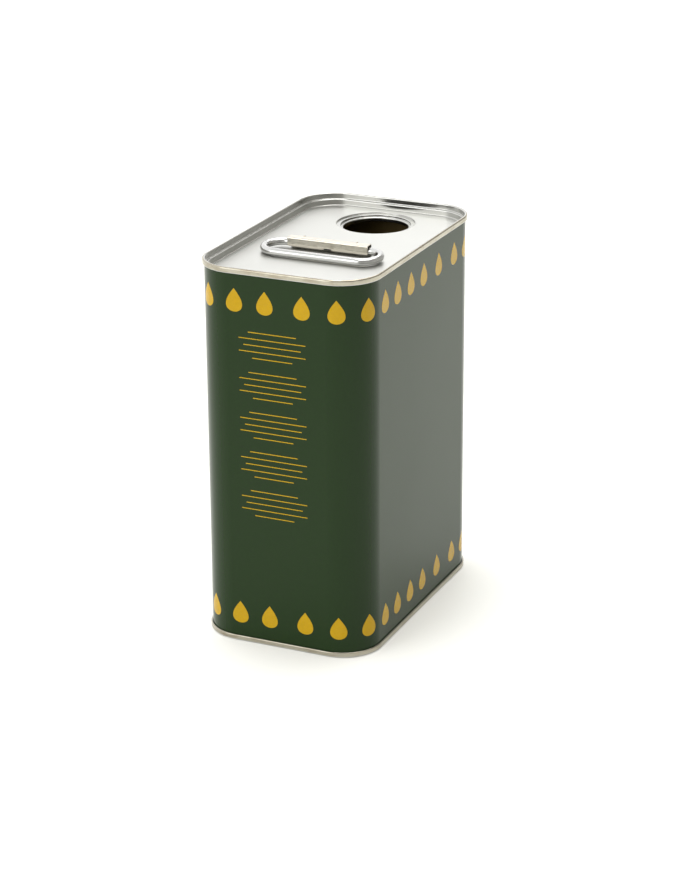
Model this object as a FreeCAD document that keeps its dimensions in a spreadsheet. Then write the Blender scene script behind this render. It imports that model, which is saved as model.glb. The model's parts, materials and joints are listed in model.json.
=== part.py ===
"""Rectangular oil tin: a welded tinplate body, two double-seamed ends, an open pouring mouth
in the lid and a wire bail that swings in a folded strap. Millimetres. The tin stands on z = 0
about the Z axis, with its narrow front towards -Y and its pouring mouth towards +Y."""

import FreeCAD, Part
import math
import os
import Sketcher

SIZES = {
    # Whole tin, over the outside of the body wall
    "tin_height": 187.0,
    "body_width": 87.2,
    "body_depth": 139.8,
    "corner_radius": 19.3,
    # Tinplate
    "body_gauge": 0.25,
    "end_gauge": 0.28,
    # Double seams, the same at both ends
    "seam_height": 2.7,
    "seam_gap": 0.04,  # between one folded layer and the next
    "hook_clearance": 0.12,  # beyond the free edge of each hook
    "compound_thickness": 0.15,
    # Side weld of the body
    "lap_width": 0.9,
    "lap_rise": 0.12,
    "lap_margin": 0.6,  # from each seam
    # Lid
    "lid_ledge_depth": 3.0,
    "lid_ledge_width": 1.2,
    "lid_panel_depth": 6.0,
    # Base
    "base_panel_depth": 4.6,
    # Pouring mouth
    "mouth_bore": 32.0,
    "mouth_step": 34.6,  # across the step in its recess
    "mouth_rim": 38.8,  # across the top of its recess
    "mouth_step_depth": 0.8,  # from the panel
    "mouth_seat_depth": 1.8,  # from the panel
    "mouth_flange": 2.0,  # turned-down edge, from the seat
    "mouth_margin": 4.0,  # flat of the panel left behind the mouth
    # Bail
    "wire_diameter": 3.66,
    "bail_width": 16.6,  # between the middles of its two straight runs
    "bail_end_play": 0.25,
    "bail_rest_gap": 0.2,
    "hinge_offset": 10.6,  # from the middle of the lid towards the front
    "hinge_clearance": 0.2,
    # Strap that holds the bail
    "strap_length": 41.6,
    "strap_gauge": 0.35,
    "strap_bend": 0.65,
    "channel_headroom": 0.6,  # above the wire, besides its clearance
    "lip_bend": 0.8,
    "lip_length": 1.2,
    "lip_lift": 1.1,  # above the panel
    "lip_corner": 0.7,
    "notch_width": 3.6,
    "notch_height": 0.9,
    "foot_length": 7.0,
    "foot_bend": 0.5,
    "foot_corner": 1.5,
    "foot_setback": 7.0,  # from each end of the strap
    "foot_relief": 0.25,  # under the back wall beside the foot
    "pip_diameter": 1.4,
    "pip_tip": 0.8,
    "pip_rise": 0.3,
    "pip_setback": 7.1,
    # Every cut runs this far past what it cuts
    "overrun": 1.0,
}

ANGLES = {
    "lip_turn": 20.0,  # how far the lip is tucked under the wire, from upright
}

AT = {
    # Faces of the seam's layers, as distances from the middle plane of the tin
    "wall_out": "Size.body_width / 2",
    "wall_in": "wall_out - Size.body_gauge",
    "chuck_out": "wall_in - Size.seam_gap",
    "chuck_in": "chuck_out - Size.end_gauge",
    "cover_hook_in": "wall_out + Size.seam_gap",
    "cover_hook_out": "cover_hook_in + Size.end_gauge",
    "body_hook_in": "cover_hook_out + Size.seam_gap",
    "body_hook_out": "body_hook_in + Size.body_gauge",
    "seam_in": "body_hook_out + Size.seam_gap",
    "seam_out": "seam_in + Size.end_gauge",
    "half_depth": "Size.body_depth / 2",
    # Levels in a seam, as depths from its outer edge
    "under": "Size.end_gauge + Size.seam_gap",
    "crest": "under + Size.compound_thickness + Size.seam_gap",
    "body_fold": "crest + Size.body_gauge",
    "body_hook_end": "Size.seam_height - Size.end_gauge - Size.hook_clearance",
    "cover_fold": "Size.seam_height - Size.end_gauge",
    "cover_hook_end": "body_fold + Size.hook_clearance",
    # Lid: the step's face towards the middle of the tin, and the height of the panel
    "lid_sink": "chuck_in - Size.lid_ledge_width",
    "panel": "Size.tin_height - Size.lid_panel_depth",
    # Pouring mouth: radii about its own axis, then depths from the top of the tin
    "mouth_hole": "Size.mouth_bore / 2",
    "mouth_shelf": "Size.mouth_step / 2",
    "mouth_cup": "Size.mouth_rim / 2",
    "mouth_join": "mouth_cup + Size.end_gauge",
    "mouth_y": "half_depth - wall_out + lid_sink - Size.mouth_margin - mouth_join",
    "mouth_ledge": "Size.lid_panel_depth + Size.mouth_step_depth",
    "mouth_seat": "Size.lid_panel_depth + Size.mouth_seat_depth",
    "mouth_end": "mouth_seat + Size.mouth_flange",
    # Strap, about the wire's axis: y towards the back, z up
    "wire_radius": "Size.wire_diameter / 2",
    "channel": "wire_radius + Size.hinge_clearance",
    "strap_face": "channel + Size.strap_gauge",
    "strap_crown": "strap_face - Size.strap_bend",
    "channel_top": "channel + Size.channel_headroom",
    "strap_top": "channel_top + Size.strap_gauge",
    "strap_shoulder": "strap_top - Size.strap_bend",
    "strap_half": "Size.strap_length / 2",
    "lip_sine": "sin(Size.lip_turn * 1 deg)",
    "lip_cosine": "cos(Size.lip_turn * 1 deg)",
    "lip_tangent": "tan(Size.lip_turn * 1 deg / 2)",
    "crease": "Size.lip_bend * lip_tangent - strap_face * lip_tangent",
    "crease_y": "Size.lip_bend - strap_face",
    "crease_hem": "Size.lip_bend - Size.strap_gauge",
    "lip_y": "Size.lip_length * lip_sine - strap_face",
    "lip_z": "-strap_face * lip_tangent - Size.lip_length * lip_cosine",
    "hinge_rise": "Size.lip_lift - lip_z",
    "foot_top": "Size.strap_gauge - hinge_rise",
    "foot_root": "foot_top + Size.foot_bend",
    "foot_start": "strap_face + Size.foot_bend",
    "foot_end": "strap_face + Size.foot_length",
    "foot_half": "strap_half - Size.foot_setback",
    "pip_x": "strap_half - Size.pip_setback",
    "pip_base": "channel_top + Size.strap_gauge / 2",
    "pip_top": "strap_top + Size.pip_rise",
    # Bail, flat, about the axis of the run that the strap holds
    "bail_straight": "strap_half + Size.bail_end_play",
    "bail_middle": "-Size.bail_width / 2",
    "bail_tip": "bail_straight - bail_middle",
    "bail_drop": "hinge_rise - wire_radius - Size.bail_rest_gap",
}

doc = FreeCAD.newDocument("OilTin")


def fill_sheet(name, cells, prefix=""):
    """Puts each named value or formula in a row of a new sheet, with its name as the alias."""
    sheet = doc.addObject("Spreadsheet::Sheet", name)
    for row, (alias, content) in enumerate(cells.items(), start=1):
        sheet.set(f"A{row}", alias)
        sheet.set(f"B{row}", f"{prefix}{content}")
        sheet.setAlias(f"B{row}", alias)
    return sheet


fill_sheet("Size", {**SIZES, **ANGLES})
at_sheet = fill_sheet("At", AT, prefix="=")
doc.recompute()


def number(expression):
    """The plain number that an expression over the two sheets gives."""
    result = at_sheet.evalExpression(expression)
    return float(getattr(result, "Value", result))


def lid_level(depth):
    """A height, from a depth below the top of the tin."""
    return f"Size.tin_height - ({depth})"


def base_level(depth):
    """A height, from a depth above the foot of the tin."""
    return depth


class Outline:
    """A closed outline in a sketch: every corner and bend is held by distances bound to the sheets."""

    def __init__(self, sketch, x, y):
        self.sketch = sketch
        self.corners = [(x, y)]
        self.edges = []

    def line(self, x, y):
        """Goes straight to a corner."""
        self.corners.append((x, y))
        self.edges.append(None)

    def bend(self, x, y, centre_x, centre_y):
        """Goes to a corner on the shorter arc about a centre."""
        start, end, centre = (self.place(*p) for p in (self.corners[-1], (x, y), (centre_x, centre_y)))
        side = (start - centre).cross(end - centre).z
        self.corners.append((x, y))
        self.edges.append((centre_x, centre_y, side > 0))

    def close(self):
        """Draws the outline, back to its first corner, and binds it."""
        if self.corners[-1] == self.corners[0]:
            self.corners.pop()
        else:
            self.edges.append(None)
        ends = list(zip(self.corners, self.corners[1:] + self.corners[:1]))
        first = self.sketch.GeometryCount
        self.sketch.addGeometry([self.curve(*e) for e in zip(self.edges, ends)], False)
        count = len(self.edges)
        for i, edge in enumerate(self.edges):
            after = (i + 1) % count
            tail, head = self.side(edge, 2), self.side(self.edges[after], 1)
            joint = Sketcher.Constraint("Coincident", first + i, tail, first + after, head)
            self.sketch.addConstraint(joint)
            hold(self.sketch, first + i, self.side(edge, 1), *self.corners[i])
            if edge:
                chord = self.place(*ends[i][1]) - self.place(*ends[i][0])
                upright = abs(chord.x) >= abs(chord.y)
                hold(self.sketch, first + i, 3, None if upright else edge[0], edge[1] if upright else None)

    @staticmethod
    def place(x, y):
        return FreeCAD.Vector(number(x), number(y), 0)

    @staticmethod
    def side(edge, end):
        """The sketch's number for an edge's start (1) or end (2): a clockwise arc has them swapped."""
        return end if edge is None or edge[2] else 3 - end

    def curve(self, edge, ends):
        start, end = (self.place(*corner) for corner in ends)
        if edge is None:
            return Part.LineSegment(start, end)
        centre = self.place(*edge[:2])
        angles = [math.atan2(p.y - centre.y, p.x - centre.x) for p in (start, end)]
        if not edge[2]:
            angles.reverse()
        circle = Part.Circle(centre, FreeCAD.Vector(0, 0, 1), (start - centre).Length)
        return Part.ArcOfCircle(circle, *angles)


def hold(sketch, geometry, point, x, y):
    """Binds a point's distances from the sketch's origin. Zero keeps it on the axis, None leaves it free."""
    for kind, axis, expression in (("DistanceX", -2, x), ("DistanceY", -1, y)):
        if expression == "0":
            sketch.addConstraint(Sketcher.Constraint("PointOnObject", geometry, point, axis))
        elif expression is not None:
            distance = Sketcher.Constraint(kind, -1, 1, geometry, point, number(expression))
            index = sketch.addConstraint(distance)
            sketch.setExpression(f"Constraints[{index}]", expression)


def circle(sketch, x, y, diameter):
    """Draws a bound circle."""
    centre = Outline.place(x, y)
    shape = Part.Circle(centre, FreeCAD.Vector(0, 0, 1), number(diameter) / 2)
    index = sketch.addGeometry(shape, False)
    hold(sketch, index, 3, x, y)
    size = sketch.addConstraint(Sketcher.Constraint("Diameter", index, number(diameter)))
    sketch.setExpression(f"Constraints[{size}]", diameter)


def rectangle(sketch, left, right, low, high):
    """Draws a bound rectangle."""
    outline = Outline(sketch, left, low)
    outline.line(right, low)
    outline.line(right, high)
    outline.line(left, high)
    outline.close()


def rounded_rectangle(sketch, inset):
    """Draws the tin's plan, set in from the outside of its wall, from the middle of the right side."""
    x, y = f"(At.wall_out - ({inset}))", f"(At.half_depth - ({inset}))"
    radius = f"(Size.corner_radius - ({inset}))"
    near_x, near_y = f"({x} - {radius})", f"({y} - {radius})"
    outline = Outline(sketch, x, "0")
    outline.line(x, near_y)
    outline.bend(near_x, y, near_x, near_y)
    outline.line(f"-{near_x}", y)
    outline.bend(f"-{x}", near_y, f"-{near_x}", near_y)
    outline.line(f"-{x}", f"-{near_y}")
    outline.bend(f"-{near_x}", f"-{y}", f"-{near_x}", f"-{near_y}")
    outline.line(near_x, f"-{y}")
    outline.bend(x, f"-{near_y}", near_x, f"-{near_y}")
    outline.close()


def new_body(label):
    """Starts a sub-part."""
    body = doc.addObject("PartDesign::Body", label)
    body.Label = label
    return body


def new_sketch(body, role, name, **offsets):
    """Starts a sketch on one of a sub-part's own origin planes, moved by bound offsets."""
    sketch = body.newObject("Sketcher::SketchObject", f"{body.Label}_{name}")
    plane = next(f for f in body.Origin.OriginFeatures if f.Role == role)
    sketch.AttachmentSupport = [(plane, "")]
    sketch.MapMode = "FlatFace"
    for axis, expression in offsets.items():
        sketch.setExpression(f"AttachmentOffset.Base.{axis}", expression)
    return sketch


def sweep(body, section, path):
    """Carries a section round a path."""
    pipe = body.newObject("PartDesign::AdditivePipe", f"{section.Name}_sweep")
    pipe.Profile = section
    pipe.Spine = path
    return pipe


def pad(body, sketch, length, side="One side"):
    """Raises a sketch."""
    feature = body.newObject("PartDesign::Pad", f"{sketch.Name}_pad")
    feature.Profile = sketch
    feature.SideType = side
    feature.setExpression("Length", length)
    return feature


def turn(body, sketch):
    """Turns a sketch about its upright axis."""
    feature = body.newObject("PartDesign::Revolution", f"{sketch.Name}_turned")
    feature.Profile = sketch
    feature.ReferenceAxis = (sketch, ["V_Axis"])
    return feature


def pocket(body, sketch, backwards=False):
    """Cuts a sketch right through."""
    feature = body.newObject("PartDesign::Pocket", f"{sketch.Name}_pocket")
    feature.Profile = sketch
    feature.Reversed = backwards
    feature.Type = "ThroughAll"
    doc.recompute()
    if feature.Shape.Volume >= feature.BaseFeature.Shape.Volume:
        raise RuntimeError(f"{feature.Name} cuts nothing")
    return feature


def round_edges(body, radius, wanted):
    """Rounds the edges of a sub-part whose middle passes a test."""
    doc.recompute()
    base = body.Tip
    names = [f"Edge{i}" for i, edge in enumerate(base.Shape.Edges, start=1) if wanted(edge)]
    fillet = body.newObject("PartDesign::Fillet", f"{base.Name}_fillet")
    fillet.Base = (base, names)
    fillet.setExpression("Radius", radius)
    return fillet


def body_wall():
    """The sheet body: its wall, with both edges flanged out and folded back as hooks, and its side weld."""
    body = new_body("body_wall")
    path = new_sketch(body, "XY_Plane", "path")
    rounded_rectangle(path, "0")
    section = new_sketch(body, "XZ_Plane", "section")
    outline = Outline(section, "At.wall_in", base_level("At.crest"))
    outline.line("At.wall_in", lid_level("At.crest"))
    outline.line("At.body_hook_out", lid_level("At.crest"))
    outline.line("At.body_hook_out", lid_level("At.body_hook_end"))
    outline.line("At.body_hook_in", lid_level("At.body_hook_end"))
    outline.line("At.body_hook_in", lid_level("At.body_fold"))
    outline.line("At.wall_out", lid_level("At.body_fold"))
    outline.line("At.wall_out", base_level("At.body_fold"))
    outline.line("At.body_hook_in", base_level("At.body_fold"))
    outline.line("At.body_hook_in", base_level("At.body_hook_end"))
    outline.line("At.body_hook_out", base_level("At.body_hook_end"))
    outline.line("At.body_hook_out", base_level("At.crest"))
    outline.close()
    sweep(body, section, path)
    lap = new_sketch(body, "XY_Plane", "lap", z="Size.seam_height + Size.lap_margin")
    middle = "At.half_depth - Size.body_gauge / 2"
    rectangle(lap, "-Size.lap_width / 2", "Size.lap_width / 2", middle, "At.half_depth + Size.lap_rise")
    pad(body, lap, "Size.tin_height - 2 * (Size.seam_height + Size.lap_margin)")
    return body


def rim(body, level, steps):
    """Sweeps the rim of an end: cover hook, seaming wall, chuck wall and the steps down to its panel.
    A step is a corner of the face that shows: its distance from the middle and its depth, panel first."""
    path = new_sketch(body, "XY_Plane", "path")
    rounded_rectangle(path, "0")
    section = new_sketch(body, "XZ_Plane", "section")
    sink, panel = steps[0]
    # Face that shows, from the panel out to the tip of the cover hook
    outline = Outline(section, sink, level(panel))
    for x, depth in steps[1:]:
        outline.line(x, level(depth))
    outline.line("At.chuck_in", level("0"))
    outline.line("At.seam_out", level("0"))
    outline.line("At.seam_out", level("Size.seam_height"))
    outline.line("At.cover_hook_in", level("Size.seam_height"))
    outline.line("At.cover_hook_in", level("At.cover_hook_end"))
    # Face turned to the oil, back to the panel
    outline.line("At.cover_hook_out", level("At.cover_hook_end"))
    outline.line("At.cover_hook_out", level("At.cover_fold"))
    outline.line("At.seam_in", level("At.cover_fold"))
    outline.line("At.seam_in", level("Size.end_gauge"))
    outline.line("At.chuck_out", level("Size.end_gauge"))
    for x, depth in reversed(steps):
        outline.line(f"{x} + Size.end_gauge", level(f"{depth} + Size.end_gauge"))
    outline.line(sink, level(f"{panel} + Size.end_gauge"))
    outline.close()
    sweep(body, section, path)


def top_end():
    """The lid: its sunk panel, the rim around it and the stepped recess of the pouring mouth."""
    body = new_body("top_end")
    panel_depth, ledge_depth = "Size.lid_panel_depth", "Size.lid_ledge_depth"
    panel = new_sketch(body, "XY_Plane", "panel", z="At.panel - Size.end_gauge")
    rounded_rectangle(panel, "At.wall_out - At.lid_sink")
    circle(panel, "0", "At.mouth_y", "2 * At.mouth_join")
    pad(body, panel, "Size.end_gauge")
    steps = [("At.lid_sink", panel_depth), ("At.lid_sink", ledge_depth), ("At.chuck_in", ledge_depth)]
    rim(body, lid_level, steps)
    mouth = new_sketch(body, "YZ_Plane", "mouth", x="At.mouth_y")
    under_ledge, under_seat = "At.mouth_ledge + Size.end_gauge", "At.mouth_seat + Size.end_gauge"
    outline = Outline(mouth, "At.mouth_join", lid_level(panel_depth))
    outline.line("At.mouth_cup", lid_level(panel_depth))
    outline.line("At.mouth_cup", lid_level("At.mouth_ledge"))
    outline.line("At.mouth_shelf", lid_level("At.mouth_ledge"))
    outline.line("At.mouth_shelf", lid_level("At.mouth_seat"))
    outline.line("At.mouth_hole", lid_level("At.mouth_seat"))
    outline.line("At.mouth_hole", lid_level("At.mouth_end"))
    outline.line("At.mouth_hole + Size.end_gauge", lid_level("At.mouth_end"))
    outline.line("At.mouth_hole + Size.end_gauge", lid_level(under_seat))
    outline.line("At.mouth_shelf + Size.end_gauge", lid_level(under_seat))
    outline.line("At.mouth_shelf + Size.end_gauge", lid_level(under_ledge))
    outline.line("At.mouth_join", lid_level(under_ledge))
    outline.close()
    turn(body, mouth)
    return body


def bottom_end():
    """The base: its sunk panel and the rim around it."""
    body = new_body("bottom_end")
    panel = new_sketch(body, "XY_Plane", "panel", z="Size.base_panel_depth")
    rounded_rectangle(panel, "At.wall_out - At.chuck_in")
    pad(body, panel, "Size.end_gauge")
    rim(body, base_level, [("At.chuck_in", "Size.base_panel_depth")])
    return body


def seam_compound(label, level):
    """A ring of sealing compound, between the end's bend and the crest of the body's hook."""
    body = new_body(label)
    path = new_sketch(body, "XY_Plane", "path")
    rounded_rectangle(path, "0")
    section = new_sketch(body, "XZ_Plane", "section")
    rectangle(section, "At.wall_in", "At.body_hook_out", level("At.under"), level("At.crest - Size.seam_gap"))
    sweep(body, section, path)
    return body


def handle_bracket():
    """The strap: a channel over the wire, its lip tucked under it and a foot welded to the panel behind."""
    body = new_body("handle_bracket")
    body.setExpression("Placement.Base.y", "-Size.hinge_offset")
    body.setExpression("Placement.Base.z", "At.panel + At.hinge_rise")
    section = new_sketch(body, "YZ_Plane", "section")
    slope_y, slope_z = "At.lip_cosine", "At.lip_sine"
    outline = Outline(section, "At.lip_y", "At.lip_z")
    # Outside, from the lip over the top and down to the foot
    outline.line(f"At.crease_y - Size.lip_bend * {slope_y}", f"At.crease - Size.lip_bend * {slope_z}")
    outline.bend("-At.strap_face", "At.crease", "At.crease_y", "At.crease")
    outline.line("-At.strap_face", "At.strap_shoulder")
    outline.bend("-At.strap_crown", "At.strap_top", "-At.strap_crown", "At.strap_shoulder")
    outline.line("At.strap_crown", "At.strap_top")
    outline.bend("At.strap_face", "At.strap_shoulder", "At.strap_crown", "At.strap_shoulder")
    outline.line("At.strap_face", "At.foot_root")
    outline.bend("At.foot_start", "At.foot_top", "At.foot_start", "At.foot_root")
    outline.line("At.foot_end", "At.foot_top")
    # Inside, back to the lip
    outline.line("At.foot_end", "-At.hinge_rise")
    outline.line("At.foot_start", "-At.hinge_rise")
    outline.bend("At.channel", "At.foot_root", "At.foot_start", "At.foot_root")
    outline.line("At.channel", "At.strap_shoulder")
    outline.bend("At.strap_crown", "At.channel_top", "At.strap_crown", "At.strap_shoulder")
    outline.line("-At.strap_crown", "At.channel_top")
    outline.bend("-At.channel", "At.strap_shoulder", "-At.strap_crown", "At.strap_shoulder")
    outline.line("-At.channel", "At.crease")
    hem_y, hem_z = f"At.crease_y - At.crease_hem * {slope_y}", f"At.crease - At.crease_hem * {slope_z}"
    outline.bend(hem_y, hem_z, "At.crease_y", "At.crease")
    outline.line(f"At.lip_y + Size.strap_gauge * {slope_y}", f"At.lip_z + Size.strap_gauge * {slope_z}")
    outline.close()
    pad(body, section, "Size.strap_length", side="Symmetric")

    beside = new_sketch(body, "XZ_Plane", "beside_foot")
    low, relief = "-At.hinge_rise - Size.overrun", "Size.foot_relief - At.hinge_rise"
    past_end = "At.strap_half + Size.overrun"
    rectangle(beside, "At.foot_half", past_end, low, relief)
    rectangle(beside, f"-({past_end})", "-At.foot_half", low, relief)
    pocket(body, beside)

    notch = new_sketch(body, "XZ_Plane", "notch")
    notch_half = "Size.notch_width / 2"
    rectangle(notch, f"-{notch_half}", notch_half, low, "At.lip_z + Size.notch_height")
    pocket(body, notch, backwards=True)

    for x in ("At.pip_x", "-At.pip_x"):
        pip = new_sketch(body, "XZ_Plane", "pip", x=x, z="-At.strap_crown")
        outline = Outline(pip, "0", "At.pip_base")
        outline.line("Size.pip_diameter / 2", "At.pip_base")
        outline.line("Size.pip_tip / 2", "At.pip_top")
        outline.line("0", "At.pip_top")
        outline.close()
        turn(body, pip)

    gauge, foot_end = number("Size.strap_gauge"), number("At.foot_end")
    lip_middle = number("At.lip_z + Size.strap_gauge * At.lip_sine / 2")
    near = gauge / 2

    def lip_corner(edge):
        middle = edge.CenterOfMass
        return abs(edge.Length - gauge) < near and abs(middle.z - lip_middle) < near and middle.y < 0

    def foot_corner(edge):
        middle = edge.CenterOfMass
        return abs(edge.Length - gauge) < near and abs(middle.y - foot_end) < near

    round_edges(body, "Size.lip_corner", lip_corner)
    round_edges(body, "Size.foot_corner", foot_corner)
    return body


def handle_wire():
    """The bail: one closed ring of round wire, lying forward with its free run just off the panel."""
    body = new_body("handle_wire")
    body.Placement.Rotation = FreeCAD.Rotation(FreeCAD.Vector(1, 0, 0), 1)
    body.setExpression("Placement.Base.y", "-Size.hinge_offset")
    body.setExpression("Placement.Base.z", "At.panel + At.hinge_rise")
    body.setExpression("Placement.Rotation.Angle", "asin(At.bail_drop / Size.bail_width)")
    path = new_sketch(body, "XY_Plane", "path")
    outline = Outline(path, "0", "-Size.bail_width")
    outline.line("At.bail_straight", "-Size.bail_width")
    outline.bend("At.bail_tip", "At.bail_middle", "At.bail_straight", "At.bail_middle")
    outline.bend("At.bail_straight", "0", "At.bail_straight", "At.bail_middle")
    outline.line("-At.bail_straight", "0")
    outline.bend("-At.bail_tip", "At.bail_middle", "-At.bail_straight", "At.bail_middle")
    outline.bend("-At.bail_straight", "-Size.bail_width", "-At.bail_straight", "At.bail_middle")
    outline.close()
    section = new_sketch(body, "YZ_Plane", "section")
    circle(section, "-Size.bail_width", "0", "Size.wire_diameter")
    sweep(body, section, path)
    return body


sub_parts = [
    body_wall(),
    top_end(),
    bottom_end(),
    seam_compound("top_seam_compound", lid_level),
    seam_compound("bottom_seam_compound", base_level),
    handle_bracket(),
    handle_wire(),
]
doc.recompute()

for item in doc.Objects:
    if {"Invalid", "Error"} & set(item.State):
        raise RuntimeError(f"{item.Name} failed: {item.State}")
for part in sub_parts:
    shape = part.Shape
    if shape.isNull() or not shape.isValid() or len(shape.Solids) != 1:
        raise RuntimeError(f"{part.Label} isn't one valid solid")

os.makedirs("parts", exist_ok=True)
for part in sub_parts:
    part.Shape.exportStep(f"parts/{part.Label}.step")
    box = part.Shape.BoundBox
    print(f"{part.Label}: {part.Shape.Volume:.1f} mm3, z {box.ZMin:.2f} to {box.ZMax:.2f}")
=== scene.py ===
import json
import math
from types import SimpleNamespace

import bmesh
import bpy
import numpy as np
from mathutils import Matrix, Vector


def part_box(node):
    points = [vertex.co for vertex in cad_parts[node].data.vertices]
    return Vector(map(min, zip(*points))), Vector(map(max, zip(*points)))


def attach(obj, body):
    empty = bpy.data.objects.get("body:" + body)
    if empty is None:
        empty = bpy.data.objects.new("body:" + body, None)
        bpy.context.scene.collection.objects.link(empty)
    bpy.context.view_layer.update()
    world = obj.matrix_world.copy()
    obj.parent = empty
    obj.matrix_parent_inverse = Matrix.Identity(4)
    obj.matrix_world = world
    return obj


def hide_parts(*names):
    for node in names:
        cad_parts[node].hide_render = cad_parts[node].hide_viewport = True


bl_info = {
    "name": "Oil tin",
    "version": (1, 0, 0),
    "blender": (4, 5, 0),
    "location": "3D View > Sidebar > Oil tin",
    "description": "Makes an oil tin's printed body, tinplate ends and wire handle, and a studio",
    "category": "Object",
}

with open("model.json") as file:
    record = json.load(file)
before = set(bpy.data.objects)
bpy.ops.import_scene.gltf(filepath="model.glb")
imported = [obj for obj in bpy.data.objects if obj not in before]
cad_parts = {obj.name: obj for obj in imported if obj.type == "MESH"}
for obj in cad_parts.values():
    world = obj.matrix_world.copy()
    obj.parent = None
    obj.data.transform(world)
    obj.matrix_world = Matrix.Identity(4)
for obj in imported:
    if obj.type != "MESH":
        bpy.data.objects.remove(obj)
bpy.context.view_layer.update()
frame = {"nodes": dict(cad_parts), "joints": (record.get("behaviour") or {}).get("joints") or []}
MM = 0.001

# Places of the finishes in the body's list, the ends' list and the strap's list
PRINTED, BARE, BODY_LACQUER, LAP = range(4)
PANEL, END_LACQUER, SEAMED, DRAWN = range(4)
# The strap's second finish paints shading on its top and lip
SATIN, TOP_AND_LIP_SHADING = range(2)

# Colour sockets of a Mix node, whose names repeat
MIX_A, MIX_B, MIX_RESULT = 6, 7, 2

# Scales of a pattern that is drawn out along one axis, or along both axes of the plan
ALONG_X, ALONG_Y, ALONG_Z, IN_PLAN = (0.03, 1, 1), (1, 0.03, 1), (1, 1, 0.03), (0.03, 0.03, 1)
PATCH_SCALE = 0.35  # least scale of a patch of tarnish along the lines
WIRE_SCALE = 0.02  # scale of the die lines along the wire

# How finely the shapes are divided
CORNER_STEPS = 32  # pieces of each round corner of the body, for its wall and its printing
BEND_STEPS = 5  # pieces of each bend of the sheet
MOUTH_STEPS = 112  # pieces round the mouth
WIRE_BEND_STEPS, WIRE_SIDES = 24, 28  # pieces of each corner of the wire's ring, and sides of the wire
DROP_POINTS = (9, 25)  # across a drop and along it
RULE_POINTS = (9, 2)  # along a rule and across it
SAME_POINT = 0.001 * MM  # points nearer than this are one
SAME_WIRE_POINT = 0.01 * MM  # the same, where the ring of wire closes
LEAST_LENGTH = 1e-20  # keeps a normal from being divided by nothing

# Folds of the sheet
RUN_SHARE = 0.48  # most of a run that the bend at one of its ends may take
FLAT_MARGIN = 3  # flat kept beside a bend, in bend radii
COVER_HOOK_END = 1.2 * MM  # from the top of the seam to the edge of the end's hook
BODY_HOOK_CREST = 0.51 * MM  # from the top of the seam to the body's fold
BODY_HOOK_CLEARANCE = 0.12 * MM  # from the edge of the body's hook to the end's fold
LAP_CLEARANCE = 0.6 * MM  # from each seam to the end of the weld's lap
LAP_CREST = 0.6  # share of the lap's width that is flat on top

# Drops on the front and the right side, in millimetres round the body from the middle of the front
DROPS_SEEN = (-37.0, -21.0, -5.5, 13.2, 30.3, 46.0, 61.0, 75.6, 91.2, 106.7, 125.2, 144.8)
DROPS_BEFORE_WELD, DROPS_AFTER_WELD = 4, 11  # on the rest of the way round
DROP_TO_WELD = 8.0  # millimetres from the weld to the middle of the nearest drop
TAPER = 1.15  # how slowly a drop widens from its tip
RULE_GROUPS = 5
RULE_SHARES = (0.72, 1.0, 0.86, 1.0, 0.6)  # lengths of a group's rules, as shares of the longest

# Faces of the strap, told apart by their turn and by the upward share of their normals. The top and the lip
# are given a toned copy of the strap's finish, which paints shading on them
FLAT_TURN = math.radians(0.5)  # faces that turn less than this are one flat
CUT_TURN = math.radians(40)  # edges that turn more than this are cut edges
LIP_LOW, LIP_HIGH = -0.45, -0.2  # the lip leans down
TOP_LOW = 0.2

# The studio, in metres, watts and degrees
FLOOR_REACH = 8.0
FLOOR_DROP = 0.02 * MM  # the floor lies just under the foot of the tin
FLOOR_GLOW = 0.045
PALE_SIDE = Vector((-1.0, 0.15, -0.35)).normalized()
PALE_BLEND = 0.35  # half the width of the change from the dim room to the pale walls
DIM_ROOM, PALE_WALLS = (0.5, 0.49, 0.465, 1), (1.4, 1.4, 1.4, 1)
SOFTBOXES = (  # name, place, width, power, tilt from facing down, and turn
    ("top_softbox", (0.1, 0.15, 2.1), 1.4, 26.0, 0, 24),
    ("back_softbox", (-0.6, 2.6, 2.2), 1.6, 20.0, 0, 24),
    ("right_softbox", (0.35, 0.55, 1.2), 0.5, 1.2, 0, 24),
    ("front_softbox", (-0.96, -2.13, 1.06), 2.0, 20.0, 69.5, -24.3),
)
CAMERA_PLACE = (0.483444, -1.058691, 0.520566)
CAMERA_ANGLES = (24.297, 20.528, -0.311)  # azimuth, elevation and roll
LENS, SENSOR = 104.868, 36.0  # millimetres
NEAREST, FARTHEST = 0.05, 40.0


def linear(code):
    """Linear red, green and blue of an sRGB hex colour."""
    shares = [int(code[i : i + 2], 16) / 255 for i in (0, 2, 4)]
    return tuple(s / 12.92 if s <= 0.04045 else ((s + 0.055) / 1.055) ** 2.4 for s in shares)


def length(name, description, millimetres):
    """A length that a user can change, stored in metres."""
    return bpy.props.FloatProperty(
        name=name, description=description, default=millimetres * MM, precision=5, unit="LENGTH"
    )


def colour(name, description, code):
    """A colour that a user can change."""
    return bpy.props.FloatVectorProperty(
        name=name, description=description, default=linear(code), min=0, max=1, subtype="COLOR"
    )


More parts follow.
